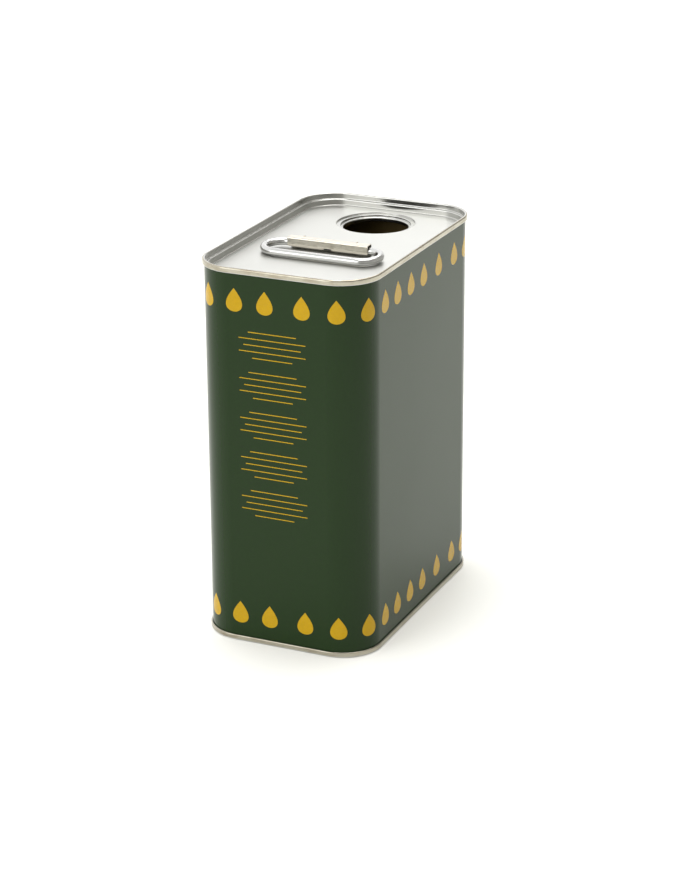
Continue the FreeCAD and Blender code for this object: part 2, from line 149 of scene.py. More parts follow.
class TinSizes(bpy.types.PropertyGroup):
    """Sizes of the body and the two ends. The bends are the scene's own: the solids fold them square"""

    body_width: length("Body width", "Over the outside of the wall", 87.2)
    body_depth: length("Body depth", "Over the outside of the wall", 139.8)
    height: length("Height", "Over both seams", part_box("top_end")[1].z / MM)
    corner_radius: length("Corner radius", "Of the outside of the wall, in plan", 19.3)
    body_gauge: length("Body sheet", "Thickness of the body's sheet", 0.25)
    end_gauge: length("End sheet", "Thickness of the ends' sheet", 0.28)
    seam_height: length("Seam height", "Of both double seams", 2.7)
    seam_gap: length("Seam gap", "Between one folded layer and the next", 0.04)
    seam_bend: length("Seam bend", "Radius on the outside of the seam", 0.8)
    ledge_bend: length("Ledge bend", "Radius on the steps of the ends", 0.4)
    lid_ledge_depth: length("Lid ledge depth", "From the top of the seam", 3.0)
    lid_ledge_width: length("Lid ledge width", "Between the seam and the step", 1.2)
    lid_panel_depth: length("Lid panel depth", "From the top of the seam", 6.0)
    base_panel_depth: length("Base panel depth", "From the foot of the seam", 4.6)
    mouth_bore: length("Mouth bore", "Diameter of the pouring mouth", 32.0)
    mouth_step: length("Mouth step", "Diameter of the step in the mouth's recess", 34.6)
    mouth_rim: length("Mouth rim", "Diameter of the top of the mouth's recess", 38.8)
    mouth_step_depth: length("Mouth step depth", "From the panel", 0.8)
    mouth_seat_depth: length("Mouth seat depth", "From the panel", 1.8)
    mouth_flange: length("Mouth flange", "Length of the turned-down edge", 2.0)
    mouth_bend: length("Mouth bend", "Radius on the steps of the mouth", 0.35)
    mouth_lip: length("Mouth lip", "Radius where the mouth's edge turns down", 0.9)
    mouth_margin: length("Mouth margin", "Flat of the panel behind the mouth", 4.0)
    weld_margin: length("Weld margin", "Half the bare strip along the side weld", 2.6)
    weld_width: length("Weld width", "Of the raised lap", 0.9)
    weld_rise: length("Weld rise", "Of the lap from the wall", 0.12)


class PrintSizes(bpy.types.PropertyGroup):
    """Sizes of the printing on the body"""

    drop_width: length("Drop width", "Of one printed drop", 8.3)
    drop_height: length("Drop height", "Of one printed drop", 11.3)
    high_row: length("High row", "Height of the middle of the upper drops", 171.7)
    low_row: length("Low row", "Height of the middle of the lower drops", 14.9)
    film: length("Film", "How far the ink stands off the wall", 0.02)
    rule_width: length("Rule width", "Thickness of one printed rule", 0.42)
    rule_length: length("Rule length", "Length of the longest rule", 34.0)
    rule_pitch: length("Rule pitch", "From one rule to the next", 3.1)
    rule_group_pitch: length("Rule group pitch", "From one group of rules to the next", 19.6)
    rule_top: length("Top rule", "Height of the highest rule", 157.0)
    rule_middle: length("Rule middle", "Middle of the rules, from the middle of the front", -2.0)


class HandleSizes(bpy.types.PropertyGroup):
    """Sizes of the wire handle, as the solid has them, and the easing of the strap's edges"""

    wire_diameter: length("Wire", "Diameter of the wire", 3.66)
    bail_width: length("Handle width", "Between the middles of its two runs", 16.6)
    bail_straight: length("Straight run", "Of each run between the round ends", 42.1)
    rest_gap: length("Rest gap", "Under the free run when the handle lies down", 0.2)
    edge_round: length("Edge rounding", "Of the strap's cut edges", 0.07)


class Finish(bpy.types.PropertyGroup):
    """Colours of the tin"""

    green: colour("Body print", "Dark green printing", "122a02")
    yellow: colour("Drops", "Yellow printing", "b59000")
    tinplate: colour("Tinplate", "Panels and walls of the lid and the base", "bfbfbb")
    seam: colour("Seam", "Outside of the seams, and the bare strip by the weld", "b0ab9c")
    tarnish: colour("Tarnish", "Patches on the seams, the strap, the weld and its strip", "8a7f6c")
    weld: colour("Weld", "Lap of the side weld, darkened by its heat", "6f6c6a")
    strap: colour("Strap", "Folded strap of the handle", "e3ded0")
    # Painted shading: a tone for the strap's top and lip, which are picked by the way they face
    strap_top_and_lip_shading: colour("Strap top and lip shading", "Top and lip of the strap, toned apart from its face as painted shading", "d3cdc1")
    wire: colour("Wire", "Wire of the handle", "c6c6c4")
    lacquer: colour("Lacquer", "Inside of the tin", "6b5a34")
    compound: colour("Compound", "Sealing rings in the seams", "b7ae98")
    floor: colour("Floor", "Floor of the studio", "fafaf6")


def add(tree, kind, inputs=(), **settings):
    """Adds a node with its settings, and gives its inputs values or another node's output."""
    made = tree.nodes.new(kind)
    for name, value in settings.items():
        setattr(made, name, value)
    for key, value in dict(inputs).items():
        if isinstance(value, bpy.types.NodeSocket):
            tree.links.new(value, made.inputs[key])
        else:
            made.inputs[key].default_value = value
    return made


def new_material(name, **values):
    """A material with one Principled shader, and the shader's constant values set on its own sockets."""
    material = bpy.data.materials.new(name)
    material.use_nodes = True
    shader = material.node_tree.nodes["Principled BSDF"]
    for key, value in values.items():
        shader.inputs[key.replace("_", " ").title().replace("Ior", "IOR")].default_value = value
    return material, material.node_tree, shader


def dress(tree, shader, tint, gloss, relief):
    """Joins a colour pattern, a roughness pattern and a bump to a shader."""
    tree.links.new(tint.outputs[MIX_RESULT], shader.inputs["Base Color"])
    tree.links.new(gloss.outputs["Result"], shader.inputs["Roughness"])
    tree.links.new(relief.outputs["Normal"], shader.inputs["Normal"])


def per_metre(millimetres):
    """Texture scale that gives a pattern of a real size."""
    return 1 / (millimetres * MM)


def tones(colour, low, high):
    """A colour darkened and lightened, as the two ends of a Mix node."""
    return {MIX_A: (*(c * low for c in colour), 1), MIX_B: (*(c * high for c in colour), 1)}


def varnished_print(name, ink):
    """Lithographed tinplate under gloss varnish: even ink, a soft mirror, and the sheet's slow waves."""
    # A varnish has an IOR near 1.5: a lower one gives the softer sheen of this print
    material, tree, shader = new_material(name, ior=1.31)
    place = add(tree, "ShaderNodeTexCoord").outputs["Object"]
    mottle = add(tree, "ShaderNodeTexNoise", {"Vector": place, "Scale": per_metre(1.1), "Detail": 3})
    tint = add(
        tree, "ShaderNodeMix", {0: mottle.outputs["Fac"], **tones(ink, 0.9, 1.1)}, data_type="RGBA"
    )
    rub = add(tree, "ShaderNodeTexNoise", {"Vector": place, "Scale": per_metre(28), "Detail": 4})
    gloss = add(
        tree, "ShaderNodeMapRange", {"Value": rub.outputs["Fac"], "To Min": 0.15, "To Max": 0.25}
    )
    wave = add(tree, "ShaderNodeTexNoise", {"Vector": place, "Scale": per_metre(60), "Detail": 1})
    sheet = add(tree, "ShaderNodeBump", {"Height": wave.outputs["Fac"], "Distance": 0.25 * MM})
    # The varnish's orange peel is finer than this: it is drawn coarse enough to show
    peel = add(tree, "ShaderNodeTexNoise", {"Vector": place, "Scale": per_metre(1.6), "Detail": 2})
    skin = add(
        tree,
        "ShaderNodeBump",
        {"Height": peel.outputs["Fac"], "Distance": 0.006 * MM, "Normal": sheet.outputs["Normal"]},
    )
    dress(tree, shader, tint, gloss, skin)
    return material


def rolled_tinplate(name, colour, roughness):
    """Cold-rolled tinplate: a satin mirror with fine grain along the way it was rolled."""
    low, high = roughness
    material, tree, shader = new_material(name, metallic=1.0)
    place = add(tree, "ShaderNodeTexCoord").outputs["Object"]
    # Real rolling grain is some hundredths of a millimetre across: it is drawn coarser so that it shows
    run = add(tree, "ShaderNodeMapping", {"Vector": place, "Scale": ALONG_Y})
    grain = add(
        tree,
        "ShaderNodeTexNoise",
        {"Vector": run.outputs["Vector"], "Scale": per_metre(0.5), "Detail": 4, "Roughness": 0.6},
    )
    cloud = add(tree, "ShaderNodeTexNoise", {"Vector": place, "Scale": per_metre(18), "Detail": 3})
    tint = add(
        tree, "ShaderNodeMix", {0: cloud.outputs["Fac"], **tones(colour, 0.96, 1.03)}, data_type="RGBA"
    )
    both = add(
        tree, "ShaderNodeMath", {0: grain.outputs["Fac"], 1: cloud.outputs["Fac"]}, operation="ADD"
    )
    satin = add(
        tree,
        "ShaderNodeMapRange",
        {"Value": both.outputs[0], "From Min": 0.6, "From Max": 1.4, "To Min": low, "To Max": high},
    )
    line = add(tree, "ShaderNodeBump", {"Height": grain.outputs["Fac"], "Distance": 0.0004 * MM})
    dress(tree, shader, tint, satin, line)
    return material


def worked_tinplate(name, colour, tarnish, roughness, run):
    """Tinplate pressed by rollers or folded in a die: lines along the way it ran, and brown tarnish in
    patches where the tin was worn thin. The run is the pattern's scale along each axis, small along the
    lines."""
    low, high = roughness
    material, tree, shader = new_material(name, metallic=1.0)
    place = add(tree, "ShaderNodeTexCoord").outputs["Object"]
    drawn = add(tree, "ShaderNodeMapping", {"Vector": place, "Scale": run})
    # The real lines are some hundredths of a millimetre apart: they are drawn coarser so that they show
    lines = add(
        tree,
        "ShaderNodeTexNoise",
        {"Vector": drawn.outputs["Vector"], "Scale": per_metre(0.4), "Detail": 3},
    )
    patch_run = [max(share, PATCH_SCALE) for share in run]
    spread = add(tree, "ShaderNodeMapping", {"Vector": place, "Scale": patch_run})
    patch = add(
        tree,
        "ShaderNodeTexNoise",
        {"Vector": spread.outputs["Vector"], "Scale": per_metre(3), "Detail": 5, "Roughness": 0.65},
    )
    worn = add(
        tree, "ShaderNodeMapRange", {"Value": patch.outputs["Fac"], "From Min": 0.46, "From Max": 0.78}
    )
    bright = add(
        tree, "ShaderNodeMix", {0: lines.outputs["Fac"], **tones(colour, 0.9, 1.08)}, data_type="RGBA"
    )
    tint = add(
        tree,
        "ShaderNodeMix",
        {0: worn.outputs["Result"], MIX_A: bright.outputs[MIX_RESULT], MIX_B: (*tarnish, 1)},
        data_type="RGBA",
    )
    both = add(
        tree, "ShaderNodeMath", {0: lines.outputs["Fac"], 1: worn.outputs["Result"]}, operation="ADD"
    )
    satin = add(
        tree,
        "ShaderNodeMapRange",
        {"Value": both.outputs[0], "From Min": 0.3, "From Max": 1.3, "To Min": low, "To Max": high},
    )
    mark = add(tree, "ShaderNodeBump", {"Height": lines.outputs["Fac"], "Distance": 0.003 * MM})
    dress(tree, shader, tint, satin, mark)
    return material


def drawn_wire(name, colour):
    """Bright drawn steel wire: a soft mirror with die lines along it."""
    material, tree, shader = new_material(name, metallic=1.0)
    round_it = add(tree, "ShaderNodeAttribute", attribute_name="wire_section").outputs["Vector"]
    along = add(tree, "ShaderNodeAttribute", attribute_name="wire_along").outputs["Fac"]
    parts = add(tree, "ShaderNodeSeparateXYZ", {0: round_it})
    slow = add(tree, "ShaderNodeMath", {0: along, 1: WIRE_SCALE}, operation="MULTIPLY")
    run = add(tree, "ShaderNodeCombineXYZ", {0: parts.outputs[0], 1: parts.outputs[1], 2: slow.outputs[0]})
    # Real die lines are finer than this: they are drawn coarse enough to show
    lines = add(
        tree, "ShaderNodeTexNoise", {"Vector": run.outputs[0], "Scale": per_metre(0.35), "Detail": 3}
    )
    tint = add(
        tree, "ShaderNodeMix", {0: lines.outputs["Fac"], **tones(colour, 0.92, 1.06)}, data_type="RGBA"
    )
    dull = add(
        tree, "ShaderNodeMapRange", {"Value": lines.outputs["Fac"], "To Min": 0.12, "To Max": 0.2}
    )
    mark = add(tree, "ShaderNodeBump", {"Height": lines.outputs["Fac"], "Distance": 0.004 * MM})
    dress(tree, shader, tint, dull, mark)
    return material


def flowed_coat(name, colour, roughness, pool):
    """A poured or sprayed coat, such as lacquer or sealing compound: a low sheen, and slight pools of a
    size in millimetres."""
    material, tree, shader = new_material(name, roughness=roughness)
    place = add(tree, "ShaderNodeTexCoord").outputs["Object"]
    pools = add(tree, "ShaderNodeTexNoise", {"Vector": place, "Scale": per_metre(pool), "Detail": 3})
    tint = add(
        tree, "ShaderNodeMix", {0: pools.outputs["Fac"], **tones(colour, 0.8, 1.15)}, data_type="RGBA"
    )
    tree.links.new(tint.outputs[MIX_RESULT], shader.inputs["Base Color"])
    skin = add(tree, "ShaderNodeBump", {"Height": pools.outputs["Fac"], "Distance": 0.02 * MM})
    tree.links.new(skin.outputs["Normal"], shader.inputs["Normal"])
    return material


def layers(size):
    """Places of the folded sheets, as distances from the tin's middle plane, and of the mouth."""
    at = SimpleNamespace(wall_out=size.body_width / 2, half_depth=size.body_depth / 2)
    at.wall_in = at.wall_out - size.body_gauge
    at.chuck_out = at.wall_in - size.seam_gap
    at.chuck_in = at.chuck_out - size.end_gauge
    at.hook_in = at.wall_out + size.seam_gap
    at.hook_out = at.hook_in + size.end_gauge
    at.fold_in = at.hook_out + size.seam_gap
    at.fold_out = at.fold_in + size.body_gauge
    at.seam_in = at.fold_out + size.seam_gap
    at.seam_out = at.seam_in + size.end_gauge
    at.lid_sink = at.chuck_in - size.lid_ledge_width
    at.mouth_join = size.mouth_rim / 2 + size.end_gauge
    at.mouth_y = at.half_depth - at.wall_out + at.lid_sink - size.mouth_margin - at.mouth_join
    return at


def rounded(corners, closed=False, steps=BEND_STEPS):
    """Points of an outline of (across, up, bend radius, material of the run that leaves it)."""
    count = len(corners)
    points = []
    for i, (x, y, radius, slot) in enumerate(corners):
        corner = Vector((x, y))
        if radius == 0 or (not closed and i in (0, count - 1)):
            points.append((x, y, slot))
            continue
        back = Vector(corners[i - 1][:2]) - corner
        on = Vector(corners[(i + 1) % count][:2]) - corner
        half = back.angle(on) / 2
        reach = min(radius / math.tan(half), back.length * RUN_SHARE, on.length * RUN_SHARE)
        middle = corner + (back.normalized() + on.normalized()).normalized() * reach / math.cos(half)
        start, end = (corner + d.normalized() * reach - middle for d in (back, on))
        turn = start.angle_signed(end)
        before = corners[i - 1][3]
        for step in range(steps + 1):
            spoke = start.copy()
            spoke.rotate(Matrix.Rotation(-turn * step / steps, 2))
            points.append((*(middle + spoke), slot if step == steps else before))
    return points


def plan(size, out, steps=CORNER_STEPS):
    """The tin's rounded rectangle, counter-clockwise, at a distance from the middle plane."""
    inset = size.body_width / 2 - out
    radius = size.corner_radius - inset
    x, y = out - radius, size.body_depth / 2 - inset - radius
    points = []
    for corner, (side, end) in enumerate(((1, -1), (1, 1), (-1, 1), (-1, -1))):
        for step in range(steps + 1):
            angle = math.pi / 2 * (corner - 1 + step / steps)
            points.append((side * x + radius * math.cos(angle), end * y + radius * math.sin(angle)))
        if (side, end) == (1, 1):
            # The back run gets a point at each edge of the bare strip
            points += [(share * size.weld_margin, y + radius) for share in (1, -1)]
    return points


def ring(centre, radius, steps=MOUTH_STEPS):
    """A circle, counter-clockwise."""
    turns = (2 * math.pi * step / steps for step in range(steps))
    return [(centre[0] + radius * math.cos(t), centre[1] + radius * math.sin(t)) for t in turns]


def carry(mesh, outline, path, closed=False):
    """Carries an outline round a path and returns its first and last loops."""
    loops = [[mesh.verts.new((*p, up)) for p in path(across)] for across, up, _ in outline]
    pairs = list(zip(loops, loops[1:] + loops[:1], outline))
    for low, high, (_, _, slot) in pairs if closed else pairs[:-1]:
        for i in range(len(low)):
            j = (i + 1) % len(low)
            mesh.faces.new((low[i], low[j], high[j], high[i])).material_index = slot
    return loops[0], loops[-1]


def cap(mesh, loops, up, slot):
    """Closes a flat area between loops, facing up or down."""
    edges = [mesh.edges.get(pair) for loop in loops for pair in zip(loop, loop[1:] + loop[:1])]
    made = bmesh.ops.triangle_fill(mesh, edges=edges, use_beauty=True, normal=(0, 0, up))
    for face in (f for f in made["geom"] if isinstance(f, bmesh.types.BMFace)):
        face.material_index = slot
        if face.normal.z * up < 0:
            face.normal_flip()


def settle(mesh):
    """Smooth shading with each point's normal led by the larger faces, so that flats stay flat."""
    mesh.shade_smooth()
    normals = np.zeros((len(mesh.vertices), 3))
    for face in mesh.polygons:
        normals[list(face.vertices)] += np.array(face.normal) * face.area
    normals /= np.maximum(np.linalg.norm(normals, axis=1, keepdims=True), LEAST_LENGTH)
    mesh.normals_split_custom_set_from_vertices(normals.tolist())


def new_piece(name, mesh, materials, body, slot, *nodes):
    """Puts a mesh in the scene as a piece that rides on a body and stands for nodes of the frame."""
    data = mesh
    if isinstance(mesh, bmesh.types.BMesh):
        data = bpy.data.meshes.new(name)
        mesh.to_mesh(data)
        mesh.free()
        settle(data)
        for material in materials:
            data.materials.append(material)
    piece = bpy.data.objects.new(name, data)
    bpy.context.scene.collection.objects.link(piece)
    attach(piece, body)
    if nodes:
        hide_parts(*nodes)


def grown(name, tree, points, **values):
    """The plain mesh that a node tree makes of some points, with the tree's named inputs set."""
    seed = bpy.data.meshes.new(f"{name}_points")
    seed.from_pydata(points, [], [])
    holder = bpy.data.objects.new(f"{name}_points", seed)
    bpy.context.scene.collection.objects.link(holder)
    modifier = holder.modifiers.new(name, "NODES")
    modifier.node_group = tree
    sockets = {s.name: s.identifier for s in tree.interface.items_tree if s.in_out == "INPUT"}
    for key, value in values.items():
        modifier[sockets[key.replace("_", " ").capitalize()]] = value
    evaluated = holder.evaluated_get(bpy.context.evaluated_depsgraph_get())
    mesh = bpy.data.meshes.new_from_object(evaluated)
    mesh.name = name
    holder.modifiers.clear()
    bpy.data.objects.remove(holder)
    bpy.data.meshes.remove(seed)
    return mesh


def new_tree(name, inputs):
    """An empty geometry tree, and the outputs of its named inputs."""
    tree = bpy.data.node_groups.new(name, "GeometryNodeTree")
    tree.interface.new_socket("Geometry", in_out="OUTPUT", socket_type="NodeSocketGeometry")
    for label, kind in inputs.items():
        tree.interface.new_socket(label, in_out="INPUT", socket_type=f"NodeSocket{kind}")
    return tree, add(tree, "NodeGroupInput").outputs


def round_path(tree, width, depth, radius, steps):
    """A rectangle with round corners, as a closed curve."""
    box = add(tree, "GeometryNodeCurvePrimitiveQuadrilateral", {"Width": width, "Height": depth})
    return add(
        tree,
        "GeometryNodeFilletCurve",
        {"Curve": box.outputs[0], "Count": steps, "Radius": radius, "Limit Radius": True},
        mode="POLY",
    ).outputs[0]


def wrapped(tree, given, flat):
    """Rolls flat printing, laid out in (distance round the tin, height), onto the body."""
    path = round_path(tree, *(given[name] for name in WRAP_SIZES[:3]), CORNER_STEPS)
    place = add(tree, "ShaderNodeSeparateXYZ", {0: add(tree, "GeometryNodeInputPosition").outputs[0]})
    around = add(tree, "GeometryNodeCurveLength", {0: path})
    from_start = add(
        tree, "ShaderNodeMath", {0: place.outputs[0], 1: given["Path start"]}, operation="SUBTRACT"
    )
    turn = add(
        tree, "ShaderNodeMath", {0: from_start.outputs[0], 1: around.outputs[0], 2: 0.0}, operation="WRAP"
    )
    spot = add(tree, "GeometryNodeSampleCurve", {"Curves": path, "Length": turn.outputs[0]}, mode="LENGTH")
    outward = add(
        tree, "ShaderNodeVectorMath", {0: spot.outputs["Tangent"], 1: (0, 0, 1)}, operation="CROSS_PRODUCT"
    )
    lifted = add(
        tree, "ShaderNodeVectorMath", {0: outward.outputs[0], "Scale": given["Film"]}, operation="SCALE"
    )
    raised = add(tree, "ShaderNodeCombineXYZ", {2: place.outputs[1]})
    wall = add(tree, "ShaderNodeVectorMath", {0: spot.outputs["Position"], 1: lifted.outputs[0]})
    point = add(tree, "ShaderNodeVectorMath", {0: wall.outputs[0], 1: raised.outputs[0]})
    return add(tree, "GeometryNodeSetPosition", {"Geometry": flat, "Position": point.outputs[0]}).outputs[0]


WRAP_SIZES = ("Body width", "Body depth", "Corner radius", "Path start", "Film")
WRAP_INPUTS = {**dict.fromkeys(WRAP_SIZES, "Float"), "Ink": "Material"}


def wrap_values(size, printing):
    """Values of the inputs that roll printing onto the body, whose path starts at the right side's back."""
    flat, side = size.body_width / 2 - size.corner_radius, size.body_depth - 2 * size.corner_radius
    start = flat + size.corner_radius * math.pi / 2 + side
    return {
        "body_width": size.body_width,
        "body_depth": size.body_depth,
        "corner_radius": size.corner_radius,
        "path_start": start,
        "film": printing.film,
    }


def drop_tree():
    """Geometry nodes: a drop on every point, rolled onto the body."""
    tree, given = new_tree(
        "Printed drops",
        {"Geometry": "Geometry", "Drop width": "Float", "Drop height": "Float", **WRAP_INPUTS},
    )
    columns, rows = DROP_POINTS
    grid = add(
        tree,
        "GeometryNodeMeshGrid",
        {"Size X": 1.0, "Size Y": 1.0, "Vertices X": columns, "Vertices Y": rows},
    )
    spot = add(tree, "ShaderNodeSeparateXYZ", {0: add(tree, "GeometryNodeInputPosition").outputs[0]})
    # The angle runs from 0 at the tip to half a turn at the round foot
    angle = add(
        tree, "ShaderNodeMath", {0: spot.outputs[1], 1: -math.pi, 2: math.pi / 2}, operation="MULTIPLY_ADD"
    )
    half = add(tree, "ShaderNodeMath", {0: angle.outputs[0], 1: 2.0}, operation="DIVIDE")
    sine = add(tree, "ShaderNodeMath", {0: angle.outputs[0]}, operation="SINE")
    narrow = add(tree, "ShaderNodeMath", {0: half.outputs[0]}, operation="SINE")
    taper = add(tree, "ShaderNodeMath", {0: narrow.outputs[0], 1: TAPER}, operation="POWER")
    belly = add(tree, "ShaderNodeMath", {0: sine.outputs[0], 1: taper.outputs[0]}, operation="MULTIPLY")
    # The widest share of this outline, so that the drop's width is its real one
    low = (1 + TAPER) / (2 + TAPER)
    widest_share = 2 * low ** ((1 + TAPER) / 2) * math.sqrt(1 - low)
    full = add(tree, "ShaderNodeMath", {0: belly.outputs[0], 1: widest_share}, operation="DIVIDE")
    wide = add(tree, "ShaderNodeMath", {0: full.outputs[0], 1: given["Drop width"]}, operation="MULTIPLY")
    across = add(tree, "ShaderNodeMath", {0: wide.outputs[0], 1: spot.outputs[0]}, operation="MULTIPLY")
    rise = add(tree, "ShaderNodeMath", {0: angle.outputs[0]}, operation="COSINE")
    tall = add(tree, "ShaderNodeMath", {0: given["Drop height"], 1: 2.0}, operation="DIVIDE")
    up = add(tree, "ShaderNodeMath", {0: rise.outputs[0], 1: tall.outputs[0]}, operation="MULTIPLY")
    outline = add(tree, "ShaderNodeCombineXYZ", {0: across.outputs[0], 1: up.outputs[0]})
    drop = add(
        tree, "GeometryNodeSetPosition", {"Geometry": grid.outputs[0], "Position": outline.outputs[0]}
    )
    joined = add(tree, "GeometryNodeMergeByDistance", {"Geometry": drop.outputs[0], "Distance": SAME_POINT})
    copies = add(
        tree, "GeometryNodeInstanceOnPoints", {"Points": given["Geometry"], "Instance": joined.outputs[0]}
    )
    flat = add(tree, "GeometryNodeRealizeInstances", {0: copies.outputs[0]})
    print_on = wrapped(tree, given, flat.outputs[0])
    smooth = add(tree, "GeometryNodeSetShadeSmooth", {"Geometry": print_on, "Shade Smooth": True})
    inked = add(tree, "GeometryNodeSetMaterial", {"Geometry": smooth.outputs[0], "Material": given["Ink"]})
    add(tree, "NodeGroupOutput", {0: inked.outputs[0]})
    return tree


def rule_tree():
    """Geometry nodes: a plain rule on every point, as long as the point's Z, rolled onto the body."""
    tree, given = new_tree(
        "Printed rules", {"Geometry": "Geometry", "Rule width": "Float", **WRAP_INPUTS}
    )
    columns, rows = RULE_POINTS
    bar = add(
        tree,
        "GeometryNodeMeshGrid",
        {"Size X": 1.0, "Size Y": given["Rule width"], "Vertices X": columns, "Vertices Y": rows},
    )
    spot = add(tree, "GeometryNodeInputPosition").outputs[0]
    reach = add(tree, "ShaderNodeSeparateXYZ", {0: spot}).outputs[2]
    stretch = add(tree, "ShaderNodeCombineXYZ", {0: reach, 1: 1.0, 2: 1.0})
    copies = add(
        tree,
        "GeometryNodeInstanceOnPoints",
        {"Points": given["Geometry"], "Instance": bar.outputs[0], "Scale": stretch.outputs[0]},
    )
    flat = add(tree, "GeometryNodeRealizeInstances", {0: copies.outputs[0]})
    print_on = wrapped(tree, given, flat.outputs[0])
    inked = add(tree, "GeometryNodeSetMaterial", {"Geometry": print_on, "Material": given["Ink"]})
    add(tree, "NodeGroupOutput", {0: inked.outputs[0]})
    return tree


def wire_tree():
    """Geometry nodes: a closed ring of round wire, laid down about its hinge."""
    sizes = dict.fromkeys(("Bail length", "Bail width", "Wire radius", "Tilt"), "Float")
    tree, given = new_tree(
        "Wire ring", {"Geometry": "Geometry", **sizes, "Hinge": "Vector", "Steel": "Material"}
    )
    middle = add(tree, "ShaderNodeMath", {0: given["Bail width"], 1: 2.0}, operation="DIVIDE")
    path = round_path(
        tree, given["Bail length"], given["Bail width"], middle.outputs[0], WIRE_BEND_STEPS
    )
    run = add(tree, "GeometryNodeSplineParameter").outputs["Length"]
    marked = add(
        tree,
        "GeometryNodeStoreNamedAttribute",
        {"Geometry": path, "Name": "wire_along", "Value": run},
        data_type="FLOAT",
    )
    section = add(
        tree, "GeometryNodeCurvePrimitiveCircle", {"Resolution": WIRE_SIDES, "Radius": given["Wire radius"]}
    )
    spot = add(tree, "GeometryNodeInputPosition").outputs[0]
    noted = add(
        tree,
        "GeometryNodeStoreNamedAttribute",
        {"Geometry": section.outputs[0], "Name": "wire_section", "Value": spot},
        data_type="FLOAT_VECTOR",
    )
    tube = add(
        tree, "GeometryNodeCurveToMesh", {"Curve": marked.outputs[0], "Profile Curve": noted.outputs[0]}
    )
    whole = add(
        tree, "GeometryNodeMergeByDistance", {"Geometry": tube.outputs[0], "Distance": SAME_WIRE_POINT}
    )
    forward = add(tree, "ShaderNodeMath", {0: middle.outputs[0], 1: -1.0}, operation="MULTIPLY")
    shift = add(tree, "ShaderNodeCombineXYZ", {1: forward.outputs[0]})
    hung = add(
        tree, "GeometryNodeTransform", {"Geometry": whole.outputs[0], "Translation": shift.outputs[0]}
    )
    lean = add(tree, "ShaderNodeCombineXYZ", {0: given["Tilt"]})
    laid = add(
        tree,
        "GeometryNodeTransform",
        {"Geometry": hung.outputs[0], "Translation": given["Hinge"], "Rotation": lean.outputs[0]},
    )
    smooth = add(tree, "GeometryNodeSetShadeSmooth", {"Geometry": laid.outputs[0], "Shade Smooth": True})
    real = add(tree, "GeometryNodeRealizeInstances", {0: smooth.outputs[0]})
    steel = add(tree, "GeometryNodeSetMaterial", {"Geometry": real.outputs[0], "Material": given["Steel"]})
    add(tree, "NodeGroupOutput", {0: steel.outputs[0]})
    return tree


def rim_outline(size, at, steps, level):
    """Outline of an end: from under its panel, round the seam, to the top of its panel. A step is a corner
    of the face that shows, as its distance from the middle and its depth, with the panel's first. The
    level turns a depth into a height."""
    sheet, height = size.end_gauge, size.seam_height
    seam, bend, fold = size.seam_bend, size.ledge_bend, sheet / 2
    sink, panel = steps[0]
    margin = FLAT_MARGIN * bend
    # The steps bend up and down by turns, and the outer face of a bend has the larger radius
    under = [
        (x + sheet, depth + sheet, bend + sheet * (1 - i % 2), END_LACQUER)
        for i, (x, depth) in enumerate(steps)
    ]
    shown = [
        (x, depth, bend + sheet * (i % 2), DRAWN if i else PANEL) for i, (x, depth) in enumerate(steps)
    ]
    corners = [
        (sink - margin, panel + sheet, 0, END_LACQUER),
        *under,
        (at.chuck_out, sheet, seam - sheet, PANEL),
        (at.seam_in, sheet, seam - sheet, PANEL),
        (at.seam_in, height - sheet, fold, PANEL),
        (at.hook_out, height - sheet, fold, PANEL),
        (at.hook_out, COVER_HOOK_END, 0, PANEL),
        (at.hook_in, COVER_HOOK_END, 0, PANEL),
        (at.hook_in, height, seam - sheet, PANEL),
        (at.seam_out, height, seam - sheet, SEAMED),
        (at.seam_out, 0, seam, DRAWN),
        (at.chuck_in, 0, seam, DRAWN),
        *shown[::-1],
        (sink - margin, panel, 0, PANEL),
    ]
    return [(across, level(depth), radius, slot) for across, depth, radius, slot in corners]


def turned_over(corners):
    """The same outline walked the other way, each run keeping its material."""
    slots = [c[3] for c in corners[:-1]][::-1] + [PANEL]
    return [(*c[:3], slot) for c, slot in zip(corners[::-1], slots)]


def mouth_outline(size, at):
    """Outline of the pouring mouth, from the panel down its two steps to its turned-down edge and back."""
    sheet, bend, lip = size.end_gauge, size.mouth_bend, size.mouth_lip
    inner, edge = bend - sheet / 2, sheet / 3
    top = size.height - size.lid_panel_depth
    ledge, seat = top - size.mouth_step_depth, top - size.mouth_seat_depth
    low = seat - size.mouth_flange
    rim, shelf, hole = (d / 2 for d in (size.mouth_rim, size.mouth_step, size.mouth_bore))
    margin = at.mouth_join + FLAT_MARGIN * bend
    shown = [
        (rim, top, bend),
        (rim, ledge, inner),
        (shelf, ledge, bend),
        (shelf, seat, inner),
        (hole, seat, lip),
    ]
    under = [
        (hole, low, edge),
        (hole + sheet, low, edge),
        (hole + sheet, seat - sheet, lip - sheet),
        (shelf + sheet, seat - sheet, bend),
        (shelf + sheet, ledge - sheet, bend - sheet),
        (at.mouth_join, ledge - sheet, bend),
        (at.mouth_join, top - sheet, bend - sheet),
        (margin, top - sheet, 0),
    ]
    return [(margin, top, 0, PANEL), *((*c, DRAWN) for c in shown), *((*c, END_LACQUER) for c in under)]


